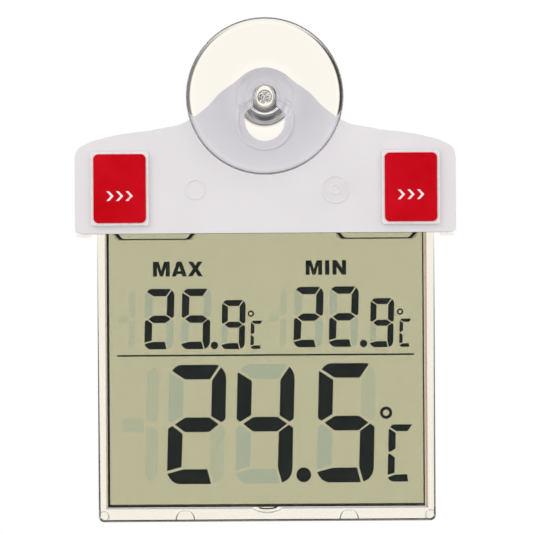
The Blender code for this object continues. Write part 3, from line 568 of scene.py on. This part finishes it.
def build_cover():
    """Battery cover with its rails, foot and thumb ribs, and a plain arrow for the way it slides."""
    low, high = (-COVER_HALF_WIDTH, 20.35, HOUSING_BOTTOM), (COVER_HALF_WIDTH, HOUSING_REAR, COVER_TOP)
    panel = box_mesh("cover", [(low, high)])
    bevel(panel, 1.3, 7, lambda x, y, z: near(y, HOUSING_REAR) and near(z, HOUSING_BOTTOM))
    bevel(panel, 0.25, 3, lambda x, y, z: near(y, HOUSING_REAR) and z > HOUSING_BOTTOM + 1.2)
    for side in (-1, 1):
        low, high = sorted((side * 25.2, side * 25.95))
        panel = combine(panel, box_mesh("web", [((low, 19.2, -33.6), (high, 20.9, -16.15))]), "UNION")
        low, high = sorted((side * 25.22, side * RAIL_HALF_WIDTH))
        panel = combine(panel, box_mesh("hook", [((low, 19.22, -33.7), (high, 19.9, -16.1))]), "UNION")
    low, high = (-RAIL_HALF_WIDTH, 19.2, -33.98), (RAIL_HALF_WIDTH, 20.5, -32.6)
    panel = combine(panel, box_mesh("foot", [(low, high)]), "UNION")
    for z in (-29.6, -28.0, -26.4, -24.8):
        rib = box_mesh("rib", [((-6.0, HOUSING_REAR - 0.3, z), (6.0, HOUSING_REAR + 0.35, z + 0.7))])
        bevel(rib, 0.25, 3, lambda x, y, z: near(y, HOUSING_REAR + 0.35))
        panel = combine(panel, rib, "UNION")
    arrow = [(-2.2, -19.4), (0.0, -22.6), (2.2, -19.4)]
    panel = combine(panel, slab_mesh("arrow", [arrow], HOUSING_REAR - 0.25, HOUSING_REAR + 1.0))
    panel = add("battery_cover_panel", panel, white_cover, "battery_cover", ["battery_cover"])
    return even_shading(panel)


def build_buttons():
    """Dished key caps; the plain ring on one and the plain dot on the other tell them apart."""
    top = HOUSING_REAR + 0.9
    dish = [(0.0, 0.3), (1.2, 0.27), (2.2, 0.16), (2.75, 0.04), (3.0, 0.0), (3.2, 0.02), (3.42, 0.12),
            (3.55, 0.3), (3.6, 0.55)]
    flange = [(3.6, 19.95), (3.62, 19.9), (4.5, 19.9), (4.5, 19.0), (2.0, 19.0), (2.0, 18.8), (0.0, 18.8)]
    profile = [(r, top - drop) for r, drop in dish] + flange
    for side, name in ((-1, "reset"), (1, "unit")):
        centre = (side * BUTTON_X, BUTTON_Z)
        mesh = loft_mesh(name + "_key", [(r, r, y) for r, y in profile], 64, centre)
        if side < 0:
            ring = [arc(centre, radius, 0, 350, 35) for radius in (1.1, 0.7)]
            mark = slab_mesh("mark", ring, top - 0.5, top - 0.12)
        else:
            mark = rod_mesh("mark", [centre], 0.6, top - 0.5, top - 0.12, 32)
        mesh = combine(mesh, mark, "UNION")
        add(name + "_key", mesh, grey_key, name + "_button", [name + "_button"])


build_rear_shell()
build_cover()
build_buttons()


# -------------------------------------------------------------------------------------------- tape pads
def build_tape():
    """Foam pads, and on each a release liner with plain chevrons that show which way it peels."""
    low, middle, high = -25.8, -24.6, -23.4
    chevron = [(-0.9, low), (-0.2, low), (0.9, middle), (-0.2, high), (-0.9, high), (0.2, middle)]
    for side, name in ((-1, "left"), (1, "right")):
        centre = (side * 36.35, -22.75)
        pad = slab_mesh("pad", [rounded_rectangle(centre, (14.5, 18.5), 0.7)], 3.88, 4.88)
        bevel(pad, 0.18, 3, lambda x, y, z: True)
        obj = add("foam_pad_" + name, pad, foam, "housing", ["adhesive_pad_" + name])
        even_shading(obj)
        sheet = slab_mesh("sheet", [rounded_rectangle(centre, (13.1, 17.2), 1.25)], 3.6, 3.76)
        bevel(sheet, 0.05, 2, lambda x, y, z: True)
        even_shading(add("release_liner_" + name, sheet, liner, "housing", ["liner_" + name]))
        middles = [centre[0] + step for step in (-2.4, 0.0, 2.4)]
        marks = slab_mesh("chevrons", [[(x + dx, z) for dx, z in chevron] for x in middles], 3.58, 3.62)
        add("liner_mark_" + name, marks, liner_print, "housing")


build_tape()


# ------------------------------------------------------------------------------------------ display frame
FRAME_HALF_WIDTH, FRAME_BOTTOM, FRAME_TOP, FRAME_CORNER = 42.2, -106.2, -26.5, 1.4
FRAME_FRONT, FRAME_SPLIT, FRAME_REAR, PANE = 7.3, 9.7, 12.4, 1.2
POCKET_HALF_WIDTH, POCKET_BOTTOM = 40.35, -103.1
TOP_TAB = [(17.6, -34.2), (18.0, -35.1), (18.9, -35.6), (36.8, -35.6), (37.6, -35.1), (38.0, -34.2),
           (37.9, -28.0), (17.7, -28.0)]


def frame_outline():
    """Carrier, ears under the housing and notches for the screw posts."""
    half = arc((FRAME_HALF_WIDTH - FRAME_CORNER, FRAME_BOTTOM + FRAME_CORNER), FRAME_CORNER, -90, 0, 12)
    half += [(FRAME_HALF_WIDTH, -33.4), (43.8, -33.4), (43.8, -34.9)]
    half += [(46.3, -34.9), (46.75, -34.85), (47.05, -34.7), (47.3, -34.5), (47.4, -34.3), (45.7, -34.3)]
    half += [(45.7, -32.55), *arc((43.0, -29.8), 2.5, 270, 90, 20), (45.7, -27.05), (45.7, FRAME_TOP)]
    return mirrored(half)


def pocket_outline():
    """Room for the cell, with a bulge in its floor for the end seal."""
    bulge = [(x, POCKET_BOTTOM - 1.15 * (1.0 - (x / 3.8) ** 2)) for x in (3.8 * i / 12 for i in range(13))]
    return mirrored(bulge + [(POCKET_HALF_WIDTH, POCKET_BOTTOM + 0.06), (POCKET_HALF_WIDTH, FRAME_TOP + 1.0)])


def groove_mesh(centre, radius, start, end, depth):
    """Cutter for a V groove along an arc in the carrier's front; radius is its outer edge."""
    floor = FRAME_FRONT + depth
    part_ring = arc(centre, radius, start, end, 30) + arc(centre, radius - 2.0 * depth, end, start, 30)
    groove = slab_mesh("groove", [part_ring], FRAME_FRONT - 1.0, floor)
    return bevel(groove, depth - 0.01, 1, lambda x, y, z: near(y, floor))


def build_display_frame():
    """Clear carrier in two halves; its front has raised tabs at the top and fine rings at the bottom."""
    def on_rail(x, z):
        return z < -33.0 and abs(x) < FRAME_HALF_WIDTH + 0.1

    front = slab_mesh("carrier_front", [frame_outline()], FRAME_FRONT, FRAME_SPLIT)
    bevel(front, 0.36, 1, lambda x, y, z: near(y, FRAME_FRONT) and on_rail(x, z))
    pocket = slab_mesh("pocket", [pocket_outline()], FRAME_FRONT + PANE, FRAME_SPLIT + 0.5)
    bevel(pocket, 0.26, 1, lambda x, y, z: near(y, FRAME_FRONT + PANE) and z < FRAME_TOP)
    front = combine(front, pocket)
    for side in (-1, 1):
        post = (side * (FRAME_HALF_WIDTH - FRAME_CORNER), FRAME_BOTTOM + FRAME_CORNER)
        gate = (side * 20.5, FRAME_BOTTOM + 0.5)
        for groove in (groove_mesh(gate, 2.45, 0, 180, 0.16), groove_mesh(post, 1.36, -15, 195, 0.2),
                       groove_mesh(post, 1.36, 165, 375, 0.2)):
            front = combine(front, groove)
    for side in (-1, 1):
        tab = slab_mesh("tab", [[(side * x, z) for x, z in TOP_TAB]], FRAME_FRONT - 0.3, FRAME_FRONT + 0.2)
        bevel(tab, 0.14, 1, lambda x, y, z: near(y, FRAME_FRONT - 0.3))
        front = combine(front, tab, "UNION")
    even_shading(add("carrier_front", front, carrier, "housing", ["display_frame_front"]))
    rear = slab_mesh("carrier_rear", [frame_outline()], FRAME_SPLIT + 0.3, FRAME_REAR)
    bevel(rear, 0.36, 1, lambda x, y, z: near(y, FRAME_REAR) and on_rail(x, z))
    pocket = slab_mesh("pocket", [pocket_outline()], FRAME_SPLIT - 0.5, FRAME_REAR - PANE)
    bevel(pocket, 0.26, 1, lambda x, y, z: near(y, FRAME_REAR - PANE) and z < FRAME_TOP)
    rear = combine(rear, pocket)
    zebra = box_mesh("zebra_slot", [((-33.3, FRAME_SPLIT, -30.6), (33.3, FRAME_REAR + 0.5, -27.6))])
    rear = combine(rear, zebra)
    even_shading(add("carrier_rear", rear, carrier, "housing", ["display_frame_rear"]))


# ------------------------------------------------------------------------------------------- display cell
def plate(name, node_name, material, edge=0.05):
    """A thin sheet of the cell in its CAD place, with its edges eased."""
    low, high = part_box(node_name)
    mesh = box_mesh(name, [(tuple(v / MM for v in low), tuple(v / MM for v in high))])
    bevel(mesh, edge, 2, lambda x, y, z: True)
    return even_shading(add(name, mesh, material, "housing", [node_name]))


def build_cell():
    """Films and glass, the black seal round the cell's edge, and the compound at its end and sides."""
    plate("polarizer_front", "front_polarizer", film)
    plate("polarizer_rear", "rear_polarizer", film)
    plate("cell_glass_front", "lcd_front_glass", cell_glass)
    plate("cell_glass_rear", "lcd_rear_glass", cell_glass)
    left, right, bottom, top = -39.95, 39.6, -102.65, -30.6
    outer = [(left, bottom), (right, bottom), (right, top), (left, top)]
    inner = [(left + 0.62, bottom + 0.72), (right - 0.42, bottom + 0.72), (right - 0.42, top - 0.8),
             (left + 0.62, top - 0.8)]
    seal = slab_mesh("cell_edge_seal", [outer, inner], CELL_GAP[0] + 0.03, CELL_GAP[1] - 0.03)
    add("cell_edge_seal", seal, seal_black, "housing")
    angles = [math.radians(180 + 6 * i) for i in range(31)]
    drop = [(2.6 * math.cos(a), -102.55 + 0.68 * math.sin(a)) for a in angles]
    mesh = slab_mesh("end_seal_drop", [drop], 9.2, 10.45)
    bevel(mesh, 0.1, 2, lambda x, y, z: z < -102.6)
    add("end_seal_drop", mesh, epoxy, "housing", ["lcd_end_seal"])
    sides = [((-40.28, 9.0, -102.9), (-39.98, 10.7, -34.0)), ((39.66, 9.0, -102.9), (40.28, 10.7, -34.0))]
    add("cell_side_bead", box_mesh("cell_side_bead", sides), bead, "housing")
    skin = [(x, z - 0.04) for x, z in drop if x > -2.2]
    skin += [(x * 0.9, z + 0.34) for x, z in reversed(skin)]
    add("end_seal_skin", slab_mesh("end_seal_skin", [skin], 8.95, 9.12), seal_black, "housing")


# Segments of a large digit, 14.35 wide: (right of its left side, down from its top)
DIGIT_HEIGHT = 29.9
SEGMENTS = {
    "a": [(0.67, 1.48), (1.35, 0.7), (2.05, 0.22), (2.8, 0.0), (11.6, 0.0), (12.1, 0.08), (12.45, 0.3),
          (10.25, 3.66), (4.0, 3.66)],
    "b": [(12.99, 0.6), (13.7, 1.5), (14.2, 2.5), (14.35, 3.6), (14.35, 13.7), (13.3, 14.43), (10.77, 12.9),
          (10.77, 3.95)],
    "c": [(13.13, 15.2), (14.25, 15.96), (14.3, 26.5), (13.95, 27.9), (13.1, 29.05), (11.75, 29.75),
          (10.6, 25.9), (10.65, 17.0)],
    "d": [(0.07, 27.3), (4.0, 26.2), (10.1, 26.2), (11.1, 29.9), (2.85, 29.9), (1.5, 29.3), (0.65, 28.35)],
    "e": [(1.08, 15.3), (3.7, 17.3), (3.6, 25.6), (0.0, 26.6), (0.0, 16.0)],
    "f": [(0.15, 1.96), (3.65, 4.19), (3.65, 12.75), (0.9, 14.43), (0.0, 13.7), (0.0, 2.15)],
    "g": [(1.7, 14.93), (4.25, 13.2), (10.3, 13.2), (12.7, 14.93), (10.3, 16.87), (4.2, 16.87)],
}
LIT = {"2": "abged", "4": "fgbc", "5": "afgcd", "9": "abcdfg"}
FAINT = {"2": "c", "5": "b"}

# The C after a reading, in four segments like those of a digit
SCALE_MARK_HEIGHT = 14.35
SCALE_MARK = [
    [(0.35, 0.7), (0.7, 0.25), (1.2, 0.0), (5.85, 0.0), (4.75, 1.7), (1.95, 1.7)],
    [(0.2, 1.05), (1.8, 2.15), (1.8, 6.1), (0.45, 6.9), (0.0, 6.6), (0.0, 1.2)],
    [(0.35, 7.3), (1.7, 8.3), (1.7, 12.2), (0.0, 12.6), (0.0, 7.5)],
    [(0.05, 13.3), (1.75, 12.6), (4.85, 12.5), (5.2, 14.35), (1.3, 14.35), (0.45, 13.9)],
]
LEAN = 0.028
UPPER_SIZE, TENTHS_SIZE = 0.507, 0.412

# Letters on a grid 3.7 high: (right, up) outlines, and holes after them
LETTERS = {
    "M": [[(0.0, 0.0), (1.02, 0.0), (1.02, 2.35), (1.72, 0.0), (2.5, 0.0), (3.2, 2.35), (3.2, 0.0),
           (4.22, 0.0), (4.22, 3.7), (2.78, 3.7), (2.11, 1.45), (1.44, 3.7), (0.0, 3.7)]],
    "A": [[(0.0, 0.0), (1.08, 0.0), (1.26, 0.6), (2.5, 0.6), (2.68, 0.0), (3.78, 0.0), (2.5, 3.7),
           (1.28, 3.7)], [(1.48, 1.32), (1.88, 2.55), (2.28, 1.32)]],
    "X": [[(0.0, 0.0), (1.2, 0.0), (1.88, 1.12), (2.56, 0.0), (3.76, 0.0), (2.5, 1.92), (3.7, 3.7),
           (2.5, 3.7), (1.88, 2.7), (1.26, 3.7), (0.06, 3.7), (1.26, 1.92)]],
    "I": [[(0.0, 0.0), (1.12, 0.0), (1.12, 3.7), (0.0, 3.7)]],
    "N": [[(0.0, 0.0), (1.05, 0.0), (1.05, 2.0), (2.4, 0.0), (3.5, 0.0), (3.5, 3.7), (2.45, 3.7), (2.45, 1.7),
           (1.1, 3.7), (0.0, 3.7)]],
}


def placed(shape, left, top, size, height):
    """A segment at its place in the display; it leans to the right about its digit's middle."""
    return [(left + x * size + LEAN * (height / 2 - d) * size, top - d * size) for x, d in shape]


def digit(keys, left, top, size):
    return [placed(SEGMENTS[key], left, top, size, DIGIT_HEIGHT) for key in keys]


def disc(centre, radius):
    return arc(centre, radius, 0, 354, 59)


def build_display():
    """Lit and unlit segments, words, the rule between the two readings and painted tab shade lines, in the
    cell's gap.
    """
    lit, unlit, faint, rings = [], [], [], []
    rows = [(1.0, "245", [(-24.75, -66.95), (-7.6, -66.9), (12.8, -66.75)]),
            (UPPER_SIZE, "25", [(-30.4, -47.85), (-21.2, -47.85)]), (TENTHS_SIZE, "9", [(-11.15, -50.75)]),
            (UPPER_SIZE, "22", [(7.0, -47.55), (15.85, -47.5)]), (TENTHS_SIZE, "9", [(26.1, -50.5)])]
    for size, figures, corners in rows:
        for figure, (left, top) in zip(figures, corners):
            lit += digit(LIT[figure], left, top, size)
            weak = FAINT.get(figure, "") if size == 1.0 else ""
            faint += digit(weak, left, top, size)
            unlit += digit([key for key in "abcdefg" if key not in LIT[figure] + weak], left, top, size)
    for left, top, size in [(30.4, -82.2, 1.0), (-3.9, -55.95, 0.495), (33.4, -55.65, 0.495)]:
        lit += [placed(shape, left, top, size, SCALE_MARK_HEIGHT) for shape in SCALE_MARK]
    lit += [disc((9.2, -94.7), 1.85), disc((-13.0, -62.1), 0.93), disc((24.4, -61.85), 0.93)]
    for centre, outer, inner in [((29.95, -79.25), 1.55, 0.78), ((-3.8, -54.2), 0.8, 0.4),
                                 ((33.6, -53.9), 0.8, 0.4)]:
        rings += [disc(centre, outer), disc(centre, inner)]
    upper_half = [(0.0, 1.8), (1.6, 0.3), (3.1, 2.2), (3.1, 13.6), (1.5, 14.5), (0.0, 13.6)]
    lower_half = [(0.0, 16.2), (1.5, 15.3), (3.1, 16.2), (3.1, 27.2), (1.6, 29.6), (0.0, 27.6)]
    for left, top, size, minus in [(-30.3, -67.0, 1.0, -36.2), (3.5, -47.6, UPPER_SIZE, 0.8),
                                   (-34.4, -47.9, UPPER_SIZE, -36.9)]:
        width = (left - minus) / size - 0.5
        bar = [(0.0, 13.2), (width, 13.2), (width, 16.85), (0.0, 16.85)]
        for shape, edge in ((upper_half, left), (lower_half, left), (bar, minus)):
            faint.append(placed(shape, edge, top, size, DIGIT_HEIGHT))
    words = []
    for left, bottom, size, letters in [(-28.3, -44.75, 1.0, [("M", 0.0), ("A", 4.72), ("X", 8.75)]),
                                        (10.0, -44.55, 0.98, [("M", 0.0), ("I", 4.95), ("N", 6.85)])]:
        for letter, offset in letters:
            words += [[(left + (offset + x) * size, bottom + z * size) for x, z in loop]
                      for loop in LETTERS[letter]]
    rule = [(-37.4, -64.81), (37.05, -64.81), (37.05, -64.38), (-37.4, -64.38)]
    # Dark outlines that follow the carrier's raised top tabs, drawn in the segment ink in the cell's gap:
    # painted shade for the dark edges that the clear tabs show, not print on the cell.
    outer = [(17.7, -34.0), (18.5, -35.0), (19.3, -35.62), (36.4, -35.62), (37.2, -35.0), (38.0, -34.0),
             (38.3, -33.2), (17.4, -33.2)]
    inner = [(18.55, -33.3), (18.75, -34.0), (19.5, -34.95), (20.0, -35.27), (35.7, -35.27), (36.2, -34.95),
             (36.95, -34.0), (37.15, -33.3)]
    tab_edge_shade_lines = [[(side * x, z) for x, z in loop] for side in (-1, 1) for loop in (outer, inner)]
    for name, loops, ink in (("display_segments", lit, segment_ink_and_tab_shade),
                             ("display_degree_rings", rings, segment_ink_and_tab_shade),
                             ("display_words", words, segment_ink_and_tab_shade), ("display_rule", [rule], segment_ink_and_tab_shade),
                             ("display_unlit", unlit, ghost_ink), ("display_faint", faint, faint_ink),
                             ("display_tab_lines", tab_edge_shade_lines, segment_ink_and_tab_shade)):
        mesh = slab_mesh(name, loops, CELL_GAP[0] + 0.07, CELL_GAP[1] - 0.08)
        add(name, mesh, ink, "housing")


build_display_frame()
build_cell()
build_display()


# ---------------------------------------------------------------------------- stage, light and camera
def build_floor():
    """Plain pale floor well below the object, which hangs on a pane."""
    bm = bmesh.new()
    place = Matrix.Translation((0, 0, -0.5))
    bmesh.ops.create_circle(bm, cap_ends=True, segments=96, radius=0.8, matrix=place)
    mesh = mesh_of("floor", bm)
    floor = bpy.data.objects.new("floor", mesh)
    bpy.context.scene.collection.objects.link(floor)
    mesh.materials.append(new_material("floor_paint", (0.9, 0.9, 0.9), 0.9))


# Colours that the world shows towards the camera's side, the front, the back and on its dark cards
WORLD_CAMERA, WORLD_FRONT, WORLD_BACK = (0.07, 0.085, 0.1), (1.11, 1.08, 1.085), (1.07, 1.015, 0.91)
WORLD_CARD = (0.065, 0.058, 0.042)


def build_world():
    """White for the camera; clear plastic sees it cream between dark cards, which draw its edges."""
    world = bpy.data.worlds.new("studio")
    bpy.context.scene.world = world
    world.use_nodes = True
    nodes, links = world.node_tree.nodes, world.node_tree.links
    nodes.clear()
    where = nodes.new("ShaderNodeTexCoord")
    split = nodes.new("ShaderNodeSeparateXYZ")
    links.new(where.outputs["Generated"], split.inputs["Vector"])

    def ramp(axis, stops):
        """Colour along one axis of the direction; stops are (position from -1 to 1, colour or level)."""
        made = nodes.new("ShaderNodeValToRGB")
        elements = made.color_ramp.elements
        while len(elements) < len(stops):
            elements.new(0.5)
        for element, (position, value) in zip(elements, stops):
            element.position = (position + 1.0) / 2.0
            element.color = (*value, 1.0) if isinstance(value, tuple) else (value, value, value, 1.0)
        shift = nodes.new("ShaderNodeMath")
        shift.operation = "MULTIPLY_ADD"
        shift.inputs[1].default_value = 0.5
        shift.inputs[2].default_value = 0.5
        links.new(split.outputs[axis], shift.inputs[0])
        links.new(shift.outputs[0], made.inputs["Fac"])
        return made.outputs["Color"]

    def math_of(operation, one, two):
        made = nodes.new("ShaderNodeMath")
        made.operation = operation
        links.new(one, made.inputs[0])
        links.new(two, made.inputs[1])
        return made.outputs[0]

    def mix_of(factor, one, two):
        made = nodes.new("ShaderNodeMix")
        made.data_type = "RGBA"
        links.new(factor, made.inputs["Factor"])
        links.new(one, made.inputs["A"])
        made.inputs["B"].default_value = (*two, 1.0)
        return made.outputs["Result"]

    depth = ramp("Y", [(-1.0, WORLD_CAMERA), (-0.985, WORLD_CAMERA), (-0.95, WORLD_FRONT), (0.0, WORLD_FRONT),
                       (0.5, WORLD_BACK)])
    sides = ramp("X", [(-0.97, 0.0), (-0.88, 1.0), (-0.28, 1.0), (-0.1, 0.0), (0.11, 0.0), (0.3, 0.8),
                       (0.88, 0.8), (0.97, 0.0)])
    level = ramp("Z", [(-0.4, 0.0), (-0.22, 1.0)])
    above = ramp("Z", [(0.1, 0.0), (0.28, 0.95)])
    behind = ramp("Y", [(-0.1, 0.0), (0.1, 1.0)])
    cards = math_of("MULTIPLY", math_of("MAXIMUM", math_of("MULTIPLY", sides, level), above), behind)
    path = nodes.new("ShaderNodeLightPath")
    background = nodes.new("ShaderNodeBackground")
    links.new(mix_of(path.outputs["Is Camera Ray"], mix_of(cards, depth, WORLD_CARD), (1.0, 1.0, 1.0)),
              background.inputs["Color"])
    output = nodes.new("ShaderNodeOutputWorld")
    links.new(background.outputs["Background"], output.inputs["Surface"])


def add_lamp(name, place, target, size, power):
    light = bpy.data.lights.new(name, "AREA")
    light.shape = "RECTANGLE"
    light.size, light.size_y = size
    light.energy = power
    lamp = bpy.data.objects.new(name, light)
    bpy.context.scene.collection.objects.link(lamp)
    lamp.location = place
    lamp.rotation_mode = "QUATERNION"
    lamp.rotation_quaternion = (Vector(target) - Vector(place)).to_track_quat("-Z", "Y")


# Lens and sensor in millimetres, the width seen at the object in metres, and the roll in degrees
LENS, SENSOR, FIELD = 280.0, 36.0, 0.13375
CAMERA_ROLL = -0.36


def build_camera():
    data = bpy.data.cameras.new("camera")
    data.lens, data.sensor_width = LENS, SENSOR
    data.clip_start, data.clip_end = 0.01, 20.0
    camera = bpy.data.objects.new("camera", data)
    bpy.context.scene.collection.objects.link(camera)
    reach = FIELD * LENS / SENSOR
    place = Matrix.Translation((0.43 * MM, 6.0 * MM - reach, -42.65 * MM))
    camera.matrix_world = place @ UPRIGHT @ Matrix.Rotation(math.radians(CAMERA_ROLL), 4, "Z")
    bpy.context.scene.camera = camera


build_floor()
build_world()
add_lamp("key", (-0.55, -0.5, 0.45), (0.0, 0.0, -0.04), (0.35, 0.35), 0.7)
add_lamp("fill", (0.6, -0.8, 0.1), (0.0, 0.0, -0.05), (0.5, 0.7), 0.1)
build_camera()
settings = bpy.context.scene.view_settings
settings.view_transform, settings.look = "Standard", "None"
